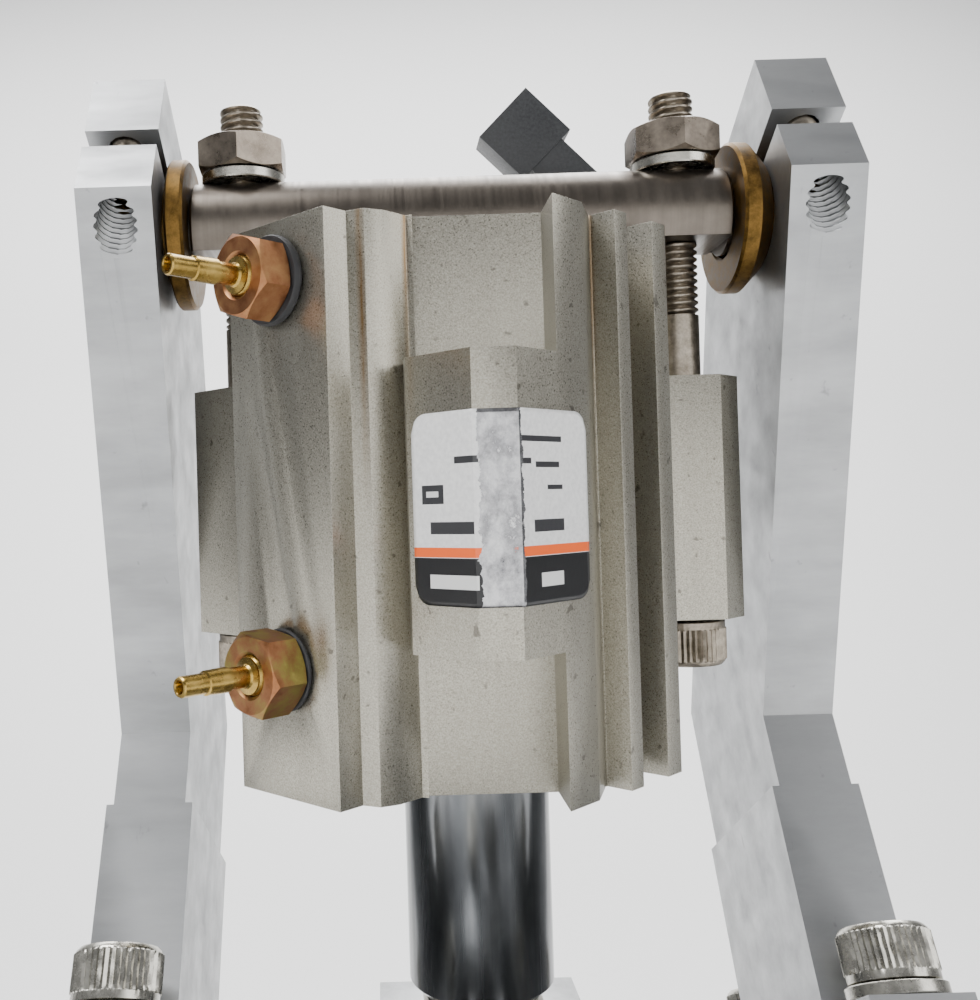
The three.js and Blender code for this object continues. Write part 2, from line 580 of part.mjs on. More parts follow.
for (const port of PORTS) {
  const holder = new THREE.Group();
  holder.position.set(0, -RIB.face - 0.15, port.z);
  holder.rotation.x = Math.PI / 2;
  square.add(holder);
  addPart(holder, `hose_fitting_${port.end}`, hoseFitting(port.seal), FINISH.brass);
  addPart(holder, `fitting_seal_${port.end}`, ringZ(port.sealR, PORT_R + 0.1, 0, port.seal), FINISH.rubber);
}

// ---------- rod, piston and yoke ----------
function pistonRod() {
  const tip = ROD.end;
  return latheZ([
    [0, -40], [STUD.r + GAP, -40], [STUD.r + GAP, tip], [ROD.r - ROD.chamfer, tip],
    [ROD.r, tip + ROD.chamfer], [ROD.r, ROD.shoulder], [ROD.spigot, ROD.shoulder],
    [ROD.spigot, ROD.spigotEnd], [0, ROD.spigotEnd],
  ], SIDES);
}

function piston() {
  const { r, z0, z1, hole } = PISTON;
  const inner = 13.2;
  const solid = latheZ([
    [0, z0], [r, z0], [r, z0 + 3], [inner, z0 + 3], [inner, z0 + 6.4], [r, z0 + 6.4], [r, z0 + 9],
    [inner, z0 + 9], [inner, z0 + 13], [r, z0 + 13], [r, z1], [0, z1],
  ], SIDES);
  return solid.subtract(rodZ(hole, z0 - 1, z1 + 1, 0, 0, SMALL_SIDES));
}

function rodYoke() {
  const { halfX, halfY, top, slotTop, pinZ, end, slotHalf } = YOKE;
  const round = 5;
  const profile = [
    [-halfY, end + round], [-halfY + round, end], [halfY - round, end], [halfY, end + round],
    [halfY, top], [-halfY, top],
  ];
  let yoke = prismX(profile, -halfX, halfX);
  yoke = yoke.subtract(box(-slotHalf, slotHalf, -halfY - 1, halfY + 1, end - 1, slotTop));
  yoke = yoke.subtract(rodZ(STUD.r + GAP, slotTop - 1, top + 1, 0, 0, SMALL_SIDES));
  return yoke.subtract(rodX(CLEVIS_PIN.r + GAP, -halfX - 1, halfX + 1, 0, pinZ, SMALL_SIDES));
}

addPart(cylinder, 'piston_rod', pistonRod(), FINISH.chrome);
addPart(cylinder, 'piston', piston(), FINISH.bodyAluminium);
const sealZ = PISTON.z0 + 3.3;
addPart(cylinder, 'piston_seal', ringZ(15.8, 13.5, sealZ, sealZ + 2.8, 0, 0, SIDES), FINISH.rubber);
const magnetZ = PISTON.z0 + 9.3;
addPart(cylinder, 'magnet_ring', ringZ(15.4, 13.5, magnetZ, magnetZ + 3.4, 0, 0, SIDES), FINISH.magnet);
addPart(cylinder, 'rod_stud', rodZ(STUD.r, STUD.z0, STUD.z1, 0, 0, SMALL_SIDES), FINISH.steel);
const lockNut = hexZ(LOCK_NUT.flats, LOCK_NUT.z0, LOCK_NUT.z1)
  .subtract(rodZ(STUD.r + GAP, LOCK_NUT.z0 - 1, LOCK_NUT.z1 + 1, 0, 0, SMALL_SIDES));
addPart(cylinder, 'yoke_lock_nut', lockNut, FINISH.zinc);
addPart(cylinder, 'rod_yoke', rodYoke(), FINISH.armAluminium);
const clevisPin = rodX(CLEVIS_PIN.r, -CLEVIS_PIN.halfX, CLEVIS_PIN.halfX, 0, YOKE.pinZ, SMALL_SIDES);
addPart(cylinder, 'clevis_pin', clevisPin, FINISH.steel);
for (const [sideName, side] of [['left', -1], ['right', 1]]) {
  const clip = ringX(5, CLEVIS_PIN.r + GAP, YOKE.halfX + 0.3, YOKE.halfX + 1.1, 0, YOKE.pinZ);
  addPart(cylinder, `clevis_clip_${sideName}`, side > 0 ? clip : mirrored(clip), FINISH.steel);
}

// ---------- jaw lever ----------
// Drawn in the jaw frame, where the jaw's axis is the origin.
function jawLever() {
  const rise = TILT - REST_OPEN;
  const along = new THREE.Vector2(Math.cos(rise), Math.sin(rise));
  const across = new THREE.Vector2(-along.y, along.x);
  const place = (a, b) => [a * along.x + b * across.x, a * along.y + b * across.y];
  const armOutline = [
    place(0, -LEVER.hubR), place(LEVER.length, -LEVER.eyeR),
    place(LEVER.length, LEVER.eyeR), place(0, LEVER.hubR),
  ];
  const eye = place(LEVER.length, 0);
  const t = LEVER.thickHalf;
  let lever = prismX(armOutline, -t, t);
  lever = lever.add(rodX(LEVER.eyeR, -t, t, eye[0], eye[1], SIDES));
  lever = lever.add(rodX(LEVER.hubR, -LEVER.hubHalf, LEVER.hubHalf, 0, 0, SIDES));
  const fingerOutline = [
    [FINGER.front, FINGER.tip], [FINGER.tipRear, FINGER.tip], [FINGER.rear, -30], [FINGER.rear, 0],
    [FINGER.front + 3, 0], [FINGER.front, -6],
  ];
  lever = lever.add(prismX(fingerOutline, -FINGER.halfX, FINGER.halfX));
  const slotOutline = [
    place(LEVER.length - EYE.long, -EYE.half), place(LEVER.length + EYE.long, -EYE.half),
    place(LEVER.length + EYE.long, EYE.half), place(LEVER.length - EYE.long, EYE.half),
  ];
  lever = lever.subtract(prismX(slotOutline, -t - 1, t + 1));
  for (const end of [-1, 1]) {
    const centre = place(LEVER.length + end * (EYE.long - EYE.half + 1.5), 0);
    lever = lever.subtract(rodX(EYE.half, -t - 1, t + 1, centre[0], centre[1], SMALL_SIDES));
  }
  lever = lever.subtract(rodX(PIVOT.bushR + GAP, -LEVER.hubHalf - 1, LEVER.hubHalf + 1, 0, 0, SMALL_SIDES));
  for (const z of PAD_SCREWS) {
    lever = lever.subtract(rodY(1.5 + GAP, FINGER.front - 1, FINGER.rear + 1, 0, z, SMALL_SIDES));
  }
  return lever;
}

// Screw along y through the finger into the pad, head on the finger's sloped back.
function padScrew(z) {
  const slope = (FINGER.rear - FINGER.tipRear) / (-30 - FINGER.tip);
  const back = FINGER.tipRear + (z + 2.6 - FINGER.tip) * slope + 0.2;
  const head = rodY(2.6, back, back + 3, 0, z);
  const shank = rodY(1.5, FINGER.front - 1.4, back + 0.5, 0, z);
  const key = rodY(1.2, back + 1.6, back + 4, 0, z, 6);
  return head.add(shank).subtract(key);
}

addPart(jaw, 'jaw_lever', jawLever(), FINISH.armAluminium);
const leverBush = ringX(PIVOT.bushR, PIVOT.r + GAP, -LEVER.hubHalf, LEVER.hubHalf, 0, 0, SMALL_SIDES);
addPart(jaw, 'lever_bush', leverBush, FINISH.bronze);
let jawPad = toothedPad(FINGER.front - 0.1 - PAD.thick, FINGER.front - 0.1, PAD.low, PAD.high, FINGER.halfX);
PAD_SCREWS.forEach((z) => {
  jawPad = jawPad.subtract(rodY(1.5 + GAP, FINGER.front - 1.8, FINGER.front + 1, 0, z));
});
addPart(jaw, 'jaw_pad', jawPad, FINISH.urethane);
PAD_SCREWS.forEach((z, i) => {
  addPart(jaw, `pad_screw_${i ? 'lower' : 'upper'}`, padScrew(z), FINISH.steel);
});

gripper.updateMatrixWorld(true);
const model = new THREE.Group();
model.add(gripper);

export default model;
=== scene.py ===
"""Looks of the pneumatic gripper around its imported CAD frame.

Lengths in the tables are millimetres. The cylinder frame has its origin at the middle of the cylinder's body,
+Z up the cylinder's axis and +Y away from the camera; every point in it is placed by CYLINDER.
"""
import json
import math

import bmesh
import bpy
from mathutils import Matrix, Vector


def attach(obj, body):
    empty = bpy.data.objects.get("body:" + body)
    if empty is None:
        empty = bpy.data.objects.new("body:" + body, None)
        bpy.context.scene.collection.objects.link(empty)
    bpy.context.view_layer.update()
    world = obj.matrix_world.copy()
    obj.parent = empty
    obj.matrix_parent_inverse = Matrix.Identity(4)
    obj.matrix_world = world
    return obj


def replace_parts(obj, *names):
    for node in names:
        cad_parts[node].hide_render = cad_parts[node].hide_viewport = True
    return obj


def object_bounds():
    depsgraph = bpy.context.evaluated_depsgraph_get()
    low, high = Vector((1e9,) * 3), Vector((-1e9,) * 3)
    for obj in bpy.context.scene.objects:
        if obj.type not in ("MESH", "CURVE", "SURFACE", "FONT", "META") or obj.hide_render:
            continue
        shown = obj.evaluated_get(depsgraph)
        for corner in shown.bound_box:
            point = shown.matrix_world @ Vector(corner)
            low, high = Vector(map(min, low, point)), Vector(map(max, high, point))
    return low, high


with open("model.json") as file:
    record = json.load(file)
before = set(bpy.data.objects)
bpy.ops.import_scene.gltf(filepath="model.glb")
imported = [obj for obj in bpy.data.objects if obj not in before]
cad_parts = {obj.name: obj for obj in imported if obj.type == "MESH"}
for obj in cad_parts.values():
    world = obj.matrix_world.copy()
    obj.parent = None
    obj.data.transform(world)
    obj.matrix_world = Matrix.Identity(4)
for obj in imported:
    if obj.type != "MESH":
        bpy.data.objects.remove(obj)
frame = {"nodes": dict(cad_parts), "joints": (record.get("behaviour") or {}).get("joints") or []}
cad_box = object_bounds()

MM = 0.001
BODY_OFFSET = -0.45  # cylinder axis, to the side of the arms' mid-plane
SHAFT_Z = 31.0  # cross shaft's centre above the middle of the body
BOLT_X = 17 * math.sqrt(2)
LOBE_HALF = 13.2  # half of the corner lobes' length
FACE = 22.5  # cylinder's axis to a side face of its body
PORT_FACE = 27.0  # axis to the face the fittings sit on
ARM_MIDDLE = 36.65  # arm's middle plane from the centre
CLAMP_Y = -53.05  # clamp hole in front of the middle of the arm's foot
BUSH_FACES = {"left": 30.1, "right": 28.9}  # inner faces of the bushes' flanges from the centre
SIDES = (("left", -1), ("right", 1))
# height along the body, thickness and radius of the seal, turn of the hexagon in degrees
PORTS = {"rear": (21.5, 0.9, 4.25, 12), "front": (-15.0, 0.4, 3.9, 20)}

# Plain bars on the label: u0, u1, v0, v1 in millimetres, u round the lobe and v up the cylinder.
LABEL_MIDDLE = 9.3
LABEL_BARS = (
    (1.1, 3.6, 0.1, 1.75), (4.9, 7.4, 3.5, 4.1), (8.6, 12.4, 3.3, 3.8), (13.0, 16.4, 3.0, 3.5),
    (9.6, 16.8, 5.2, 5.7), (2.0, 6.9, -2.5, -1.45), (12.6, 16.9, -2.5, -1.45), (14.6, 16.8, 1.1, 1.5),
)
LABEL_LIGHT_BARS = ((1.6, 3.0, 0.7, 1.2), (1.8, 7.2, -7.2, -6.0), (13.4, 16.6, -7.2, -6.0))

# ---------- frames of the moving bodies ----------
joints = {joint["name"]: joint for joint in frame["joints"]}
UP = -Vector(joints["rod_slide"]["axis"]).normalized()
BACK = Vector((0, UP.z, -UP.y))
TRUNNION = Vector(joints["cylinder_swing"]["pos_m"])


def axes_matrix(x, y, z, origin):
    return Matrix((
        (x.x, y.x, z.x, origin.x),
        (x.y, y.y, z.y, origin.y),
        (x.z, y.z, z.z, origin.z),
        (0, 0, 0, 1),
    ))


X_AXIS = Vector((1, 0, 0))
CYLINDER = axes_matrix(X_AXIS, BACK, UP, TRUNNION - UP * SHAFT_Z * MM + X_AXIS * BODY_OFFSET * MM)
SQUARE = CYLINDER @ Matrix.Rotation(-math.pi / 4, 4, "Z")
PLATE = Matrix.Translation(Vector((0, -40, 6)) * MM)  # palm plate's top, between the arms' feet


def at(x, y, z):
    return Matrix.Translation(Vector((x, y, z)) * MM)


# ---------- node materials ----------
# Rust streaks on the body, in metres: x in the cylinder frame, half width, height where they fade out.
STAINS = (
    (-0.01095, 0.0005, 0.0), (-0.0068, 0.0004, 0.006), (-0.0070, 0.0018, 0.0235), (0.0109, 0.00035, 0.004),
)


class Shader:
    """Small helper that adds nodes to one material and links them."""

    def __init__(self, name):
        self.material = bpy.data.materials.new(name)
        self.material.use_nodes = True
        self.tree = self.material.node_tree
        self.bsdf = self.tree.nodes["Principled BSDF"]
        self.position = self.node("ShaderNodeTexCoord").outputs["Object"]

    def node(self, kind, **inputs):
        made = self.tree.nodes.new(kind)
        for key, value in inputs.items():
            made.inputs[key.replace("_", " ")].default_value = value
        return made

    def link(self, output, socket):
        self.tree.links.new(output, socket)
        return self

    def stretched(self, scale, rotation=(0, 0, 0), source=None):
        mapping = self.node("ShaderNodeMapping")
        mapping.inputs["Scale"].default_value = scale
        mapping.inputs["Rotation"].default_value = rotation
        self.link(source or self.position, mapping.inputs["Vector"])
        return mapping.outputs["Vector"]

    def noise(self, vector, scale, detail=4.0, roughness=0.55):
        made = self.node("ShaderNodeTexNoise", Scale=scale, Detail=detail, Roughness=roughness)
        self.link(vector, made.inputs["Vector"])
        return made.outputs["Fac"]

    def ramp(self, value, *stops):
        made = self.node("ShaderNodeValToRGB")
        elements = made.color_ramp.elements
        while len(elements) < len(stops):
            elements.new(0.5)
        for element, (place, colour) in zip(elements, stops):
            element.position = place
            element.color = colour if len(colour) == 4 else (*colour, 1)
        self.link(value, made.inputs["Fac"])
        return made.outputs["Color"]

    def grey_ramp(self, value, low, high, start=0.3, end=0.7):
        return self.ramp(value, (start, (low, low, low)), (end, (high, high, high)))

    def mix(self, factor, a, b, blend="MIX"):
        made = self.tree.nodes.new("ShaderNodeMix")
        made.data_type = "RGBA"
        made.blend_type = blend
        for value, index in ((factor, 0), (a, 6), (b, 7)):
            if isinstance(value, bpy.types.NodeSocket):
                self.link(value, made.inputs[index])
            elif index == 0:
                made.inputs[index].default_value = value
            else:
                made.inputs[index].default_value = (*value, 1)
        return made.outputs[2]

    def maths(self, operation, a, b=0.0, clamp=False):
        made = self.tree.nodes.new("ShaderNodeMath")
        made.operation = operation
        made.use_clamp = clamp
        for value, index in ((a, 0), (b, 1)):
            if isinstance(value, bpy.types.NodeSocket):
                self.link(value, made.inputs[index])
            else:
                made.inputs[index].default_value = value
        return made.outputs[0]

    def bump(self, height, distance, strength=0.5, normal=None):
        made = self.node("ShaderNodeBump", Strength=strength, Distance=distance)
        self.link(height, made.inputs["Height"])
        if normal:
            self.link(normal, made.inputs["Normal"])
        return made.outputs["Normal"]

    def finish(self, colour, roughness, metallic=0.0, normal=None, **fixed):
        for value, key in ((colour, "Base Color"), (roughness, "Roughness"), (normal, "Normal")):
            if isinstance(value, bpy.types.NodeSocket):
                self.link(value, self.bsdf.inputs[key])
            elif value is not None:
                self.bsdf.inputs[key].default_value = (*value, 1) if isinstance(value, tuple) else value
        self.bsdf.inputs["Metallic"].default_value = metallic
        for key, value in fixed.items():
            self.bsdf.inputs[key.replace("_", " ")].default_value = value
        return self.material


def milled_aluminium(name, light, streak_scale=(60, 60, 900), rotation=(0, 0, 0)):
    """Bare milled aluminium: fine parallel tool marks, faint cloudy tarnish and small dark dings."""
    s = Shader(name)
    marks = s.noise(s.stretched(streak_scale, rotation), 1.0, 6.0, 0.6)
    cloud = s.noise(s.position, 55.0, 5.0, 0.6)
    dings = s.noise(s.stretched((420, 420, 260)), 1.0, 3.0, 0.7)
    base = s.ramp(cloud, (0.25, tuple(c * light for c in (0.56, 0.575, 0.59))),
                  (0.75, tuple(c * light for c in (0.70, 0.71, 0.72))))
    base = s.mix(s.grey_ramp(marks, 0.0, 0.5), base, (0.36 * light, 0.365 * light, 0.37 * light))
    base = s.mix(s.grey_ramp(dings, 0.0, 0.55, 0.66, 0.74), base, (0.16, 0.16, 0.165))
    rough = s.grey_ramp(marks, 0.30, 0.46)
    normal = s.bump(marks, 0.00004, 0.35)
    return s.finish(base, rough, 0.92, normal)


def cylinder_coordinates(s):
    """Position in the cylinder frame, in metres, for marks that follow the body."""
    shift = s.node("ShaderNodeMapping")
    shift.inputs["Location"].default_value = -CYLINDER.translation
    s.link(s.position, shift.inputs["Vector"])
    turn = s.node("ShaderNodeMapping")
    turn.inputs["Rotation"].default_value = (-math.atan2(-UP.y, UP.z), 0, 0)
    s.link(shift.outputs["Vector"], turn.inputs["Vector"])
    return turn.outputs["Vector"]


def anodised_body():
    """Warm grey anodised extrusion: fine grain, drawn lines, and rust stains in the front grooves."""
    s = Shader("anodised_aluminium")
    local = cylinder_coordinates(s)
    grain = s.noise(s.position, 6800.0, 2.0, 0.5)
    blotch = s.noise(s.stretched((90, 90, 35), source=local), 1.0, 4.0, 0.6)
    draw_lines = s.noise(s.stretched((900, 900, 12), source=local), 1.0, 3.0, 0.5)
    base = s.ramp(grain, (0.30, (0.23, 0.215, 0.175)), (0.70, (0.46, 0.44, 0.375)))
    base = s.mix(s.grey_ramp(blotch, 0.0, 0.30), base, (0.36, 0.345, 0.30))
    base = s.mix(s.grey_ramp(draw_lines, 0.0, 0.16), base, (0.22, 0.205, 0.17))
    split = s.node("ShaderNodeSeparateXYZ")
    s.link(local, split.inputs["Vector"])
    stain = stain_mask(s, split, local)
    base = s.mix(stain, base, (0.20, 0.10, 0.018))
    specks = s.noise(s.position, 900.0, 2.0, 0.4)
    base = s.mix(s.grey_ramp(specks, 0.0, 0.6, 0.70, 0.76), base, (0.07, 0.06, 0.05))
    rough = s.grey_ramp(grain, 0.26, 0.42)
    normal = s.bump(grain, 0.00002, 0.5)
    return s.finish(base, rough, 0.92, normal)


def stain_mask(s, split, local):
    """Gold-brown streaks that run down from the rear end in three grooves, with a patch at the top of one."""
    ragged = s.noise(s.stretched((1500, 1500, 90), source=local), 1.0, 4.0, 0.7)
    total = None
    for place, width, low in STAINS:
        away = s.maths("ABSOLUTE", s.maths("SUBTRACT", split.outputs["X"], place))
        near = s.maths("SUBTRACT", 1.0, s.maths("DIVIDE", away, width), clamp=True)
        height = s.maths("DIVIDE", s.maths("SUBTRACT", split.outputs["Z"], low), 0.016, clamp=True)
        streak = s.maths("MULTIPLY", near, height)
        total = streak if total is None else s.maths("MAXIMUM", total, streak)
    front = s.maths("LESS_THAN", split.outputs["Y"], 0.0)
    return s.maths("MULTIPLY", s.maths("MULTIPLY", total, front), s.grey_ramp(ragged, 0.1, 1.0), clamp=True)


def turned_steel(name, colour, rough=(0.26, 0.42), ring_scale=(1600, 40, 40)):
    s = Shader(name)
    rings = s.noise(s.stretched(ring_scale), 1.0, 4.0, 0.6)
    cloud = s.noise(s.position, 160.0, 5.0, 0.65)
    dark, bright = tuple(c * 0.72 for c in colour), tuple(min(1, c * 1.2) for c in colour)
    base = s.ramp(cloud, (0.25, dark), (0.75, bright))
    base = s.mix(s.grey_ramp(rings, 0.0, 0.35), base, tuple(c * 0.55 for c in colour))
    return s.finish(base, s.grey_ramp(rings, *rough), 1.0, s.bump(rings, 0.00002, 0.3))


def mottled_metal(name, dark, bright, rough, scale=700.0, metallic=1.0):
    s = Shader(name)
    mottle = s.noise(s.position, scale, 6.0, 0.7)
    fine = s.noise(s.position, scale * 6, 2.0, 0.5)
    base = s.ramp(mottle, (0.30, dark), (0.72, bright))
    base = s.mix(s.grey_ramp(fine, 0.0, 0.25), base, tuple(c * 0.5 for c in dark))
    return s.finish(base, s.grey_ramp(mottle, *rough), metallic, s.bump(fine, 0.00002, 0.4))


def patinated_hexagon(name, amount):
    """Copper-coloured bronze with yellow-green patina in patches."""
    s = Shader(name)
    mottle = s.noise(s.position, 520.0, 6.0, 0.65)
    patches = s.noise(s.position, 260.0, 5.0, 0.7)
    base = s.ramp(mottle, (0.30, (0.20, 0.08, 0.032)), (0.72, (0.42, 0.20, 0.10)))
    green = s.ramp(mottle, (0.30, (0.11, 0.085, 0.02)), (0.72, (0.31, 0.26, 0.07)))
    base = s.mix(s.grey_ramp(patches, 0.0, amount, 0.45, 0.62), base, green)
    return s.finish(base, s.grey_ramp(mottle, 0.30, 0.52), 0.95, s.bump(mottle, 0.00004, 0.35))


def dull(name, dark, bright, rough, scale=900.0, bump=0.00004):
    s = Shader(name)
    grain = s.noise(s.position, scale, 4.0, 0.6)
    base = s.ramp(grain, (0.3, dark), (0.7, bright))
    return s.finish(base, s.grey_ramp(grain, *rough), 0.0, s.bump(grain, bump, 0.5))


def ground_chrome():
    """Dark ground and chromed rod with faint streaks along it."""
    s = Shader("chromed_rod")
    local = cylinder_coordinates(s)
    streaks = s.noise(s.stretched((900, 900, 9), source=local), 1.0, 5.0, 0.6)
    smear = s.noise(s.stretched((160, 160, 60), source=local), 1.0, 4.0, 0.6)
    base = s.ramp(smear, (0.30, (0.10, 0.105, 0.11)), (0.72, (0.26, 0.265, 0.27)))
    base = s.mix(s.grey_ramp(streaks, 0.0, 0.5), base, (0.07, 0.075, 0.08))
    return s.finish(base, s.grey_ramp(streaks, 0.14, 0.30), 1.0, s.bump(streaks, 0.00001, 0.25))


def printed_label():
    """White film with two bands, plain bars for its lines of print, and foil worn bare in the middle."""
    s = Shader("label_film")
    uv = s.node("ShaderNodeUVMap").outputs["UV"]
    split = s.node("ShaderNodeSeparateXYZ")
    s.link(uv, split.inputs["Vector"])
    across, along = split.outputs["X"], split.outputs["Y"]
    grain = s.noise(s.position, 2400.0, 2.0, 0.5)
    base = s.ramp(grain, (0.3, (0.60, 0.60, 0.60)), (0.7, (0.72, 0.72, 0.715)))

    def inside(value, low, high):
        return s.maths("MULTIPLY", s.maths("GREATER_THAN", value, low), s.maths("LESS_THAN", value, high))

    def paint(under, u0, u1, v0, v1, colour):
        return s.mix(s.maths("MULTIPLY", inside(across, u0, u1), inside(along, v0, v1)), under, colour)

    base = paint(base, -1, 99, -9.9, -4.55, (0.004, 0.004, 0.005))
    base = paint(base, -1, 99, -4.5, -3.65, (0.78, 0.11, 0.01))
    for u0, u1, v0, v1 in LABEL_BARS:
        base = paint(base, u0, u1, v0, v1, (0.025, 0.025, 0.028))
    for u0, u1, v0, v1 in LABEL_LIGHT_BARS:
        base = paint(base, u0, u1, v0, v1, (0.62, 0.62, 0.61))
    ragged = s.noise(s.stretched((420, 420, 300)), 1.0, 6.0, 0.72)
    edge = s.noise(s.position, 700.0, 4.0, 0.7)
    reach = s.maths("ADD", s.maths("MULTIPLY", edge, 1.5), 1.15)
    middle = s.maths("LESS_THAN", s.maths("ABSOLUTE", s.maths("SUBTRACT", across, LABEL_MIDDLE)), reach)
    worn = s.maths("MULTIPLY", middle, s.grey_ramp(ragged, 0.0, 1.0, 0.34, 0.40))
    foil = s.ramp(ragged, (0.40, (0.22, 0.22, 0.23)), (0.62, (0.52, 0.52, 0.53)))
    base = s.mix(worn, base, foil)
    s.link(worn, s.bsdf.inputs["Metallic"])
    return finish_label(s, base, worn, ragged)


def finish_label(s, base, worn, ragged):
    s.link(base, s.bsdf.inputs["Base Color"])
    s.link(s.mix(worn, (0.33, 0.33, 0.33), (0.26, 0.26, 0.26)), s.bsdf.inputs["Roughness"])
    s.link(s.bump(ragged, 0.00008, 0.35), s.bsdf.inputs["Normal"])
    return s.material


ARM_METAL = milled_aluminium("milled_arm", 0.60, (70, 260, 260))
PLATE_METAL = milled_aluminium("milled_plate", 0.74, (500, 40, 500))
JAW_METAL = milled_aluminium("milled_jaw", 0.85, (500, 500, 50))
BODY_METAL = anodised_body()
SHAFT_STEEL = turned_steel("turned_shaft", (0.155, 0.135, 0.115), (0.28, 0.42))
SCREW_STEEL = mottled_metal("screw_steel", (0.16, 0.135, 0.105), (0.42, 0.375, 0.31), (0.28, 0.46))
NUT_STEEL = mottled_metal("nut_steel", (0.15, 0.125, 0.10), (0.36, 0.31, 0.255), (0.22, 0.38), 300.0)
BRIGHT_PLATE = mottled_metal("bright_plate", (0.44, 0.425, 0.38), (0.70, 0.68, 0.61), (0.20, 0.34), 500.0)
BRONZE = mottled_metal("dark_bronze", (0.06, 0.036, 0.010), (0.22, 0.125, 0.035), (0.34, 0.55), 900.0)
BRASS = mottled_metal("brass", (0.26, 0.165, 0.04), (0.52, 0.36, 0.105), (0.18, 0.34), 420.0)
HEX_CLEAN = patinated_hexagon("hexagon_clean", 0.25)
HEX_GREEN = patinated_hexagon("hexagon_patinated", 0.95)
RUBBER = dull("black_rubber", (0.008, 0.008, 0.009), (0.022, 0.022, 0.024), (0.55, 0.78))
PLASTIC = dull("black_plastic", (0.012, 0.013, 0.015), (0.030, 0.032, 0.035), (0.38, 0.55), 3000.0, 0.00002)
URETHANE = dull("urethane", (0.05, 0.028, 0.018), (0.085, 0.05, 0.032), (0.5, 0.7))
MAGNET = dull("bonded_magnet", (0.03, 0.03, 0.03), (0.06, 0.06, 0.06), (0.5, 0.7))
CHROME = ground_chrome()
LABEL = printed_label()

NODE_FINISH = {
    "palm_plate": PLATE_METAL, "fixed_jaw": JAW_METAL, "jaw_lever": JAW_METAL, "rod_yoke": JAW_METAL,
    "rear_cover": BODY_METAL, "rod_gland": BODY_METAL, "piston": BODY_METAL, "cylinder_body": BODY_METAL,
    "cross_shaft": SHAFT_STEEL, "lever_bush": BRONZE, "piston_rod": CHROME, "rod_seal": RUBBER,
    "piston_seal": RUBBER, "magnet_ring": MAGNET, "position_switch": PLASTIC, "jaw_pad": URETHANE,
    "fixed_pad": URETHANE, "yoke_lock_nut": BRIGHT_PLATE,
}
PREFIX_FINISH = (
    ("arm_", ARM_METAL), ("pivot_bracket", JAW_METAL), ("flanged_bush", BRONZE), ("hose_fitting", BRASS),
    ("fitting_seal", RUBBER), ("foot_", BRIGHT_PLATE), ("nut_lock", BRIGHT_PLATE), ("nut_", NUT_STEEL),
    ("fixed_jaw_screw", BRIGHT_PLATE), ("bracket_screw", BRIGHT_PLATE),
)


def node_finish(name):
    if name in NODE_FINISH:
        return NODE_FINISH[name]
    return next((finish for prefix, finish in PREFIX_FINISH if name.startswith(prefix)), SCREW_STEEL)


# ---------- meshes ----------
SOCKET_DEPTH = 0.52  # depth of a screw's socket as a share of its head


def piece_from(name, mesh_builder, material, body, smooth_angle=32):
    mesh = bpy.data.meshes.new(name)
    bm = bmesh.new()
    mesh_builder(bm)
    bmesh.ops.remove_doubles(bm, verts=bm.verts, dist=1e-7)
    bmesh.ops.recalc_face_normals(bm, faces=bm.faces)
    bm.to_mesh(mesh)
    bm.free()
    mesh.materials.append(material)
    mesh.polygons.foreach_set("use_smooth", [True] * len(mesh.polygons))
    mesh.set_sharp_from_angle(angle=math.radians(smooth_angle))
    obj = bpy.data.objects.new(name, mesh)
    bpy.context.scene.collection.objects.link(obj)
    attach(obj, body)
    return obj


def ring_of(bm, matrix, steps, point):
    """Vertices once round the z axis, where point(angle) gives x, y and z in millimetres."""
    angles = (2 * math.pi * i / steps for i in range(steps))
    return [bm.verts.new(matrix @ (Vector(point(angle)) * MM)) for angle in angles]


def join_rings(bm, rings):
    """Faces between neighbouring rings, any of which may be a single vertex."""
    for low, high in zip(rings, rings[1:]):
        for i in range(max(len(low), len(high))):
            j = i + 1
            corners = [low[i % len(low)], low[j % len(low)], high[j % len(high)], high[i % len(high)]]
            corners = list(dict.fromkeys(corners))
            if len(corners) > 2:
                bm.faces.new(corners)


def revolve(bm, profile, matrix, steps=64, shape=None):
    """Turn a profile of [radius, z] pairs about z; shape(angle, z, radius) may change a radius."""
    rings = []
    for radius, z in profile:
        if abs(radius) <= 1e-9:
            rings.append([bm.verts.new(matrix @ Vector((0, 0, z * MM)))])
            continue

        def point(angle):
            r = shape(angle, z, radius) if shape else radius
            return r * math.cos(angle), r * math.sin(angle), z

        rings.append(ring_of(bm, matrix, steps, point))
    join_rings(bm, rings)


def closed_loop(profile):
    return list(profile) + [profile[0]]


def steps_between(start, end, step):
    count = max(1, round(abs(end - start) / step))
    return [start + (end - start) * i / count for i in range(count + 1)]


def thread_wave(pitch, depth, radius):
    def shape(angle, z, r):
        if r < radius - 1e-6:
            return r
        phase = (z / pitch - angle / (2 * math.pi)) % 1
        return r - depth * (1 - min(1, abs(2 * phase - 1) * 1.35))
    return shape


def thread_profile(radius, z0, z1, pitch):
    """Threaded length from z0 up to z1 with chamfered ends and enough rings to carry the thread."""
    ends = radius - pitch * 0.7
    middle = [(radius, z) for z in steps_between(z0 + 0.35, z1 - 0.35, pitch / 8)]
    return [(0, z0), (ends, z0)] + middle + [(ends, z1), (0, z1)]


def knurled(count, depth, low, high):
    """Straight knurl between two heights, with its crests slightly uneven."""
    def shape(angle, z, r):
        if not low <= z <= high or r < 1:
            return r
        wave = abs(((angle * count / (2 * math.pi)) % 1) * 2 - 1)
        return r - depth * wave * (0.85 + 0.15 * math.sin(angle * 7 + z * 3))
    return shape


def hex_radius(angle, flats):
    turn = (angle + math.pi / 6) % (math.pi / 3) - math.pi / 6
    return (flats / 2) / math.cos(turn)


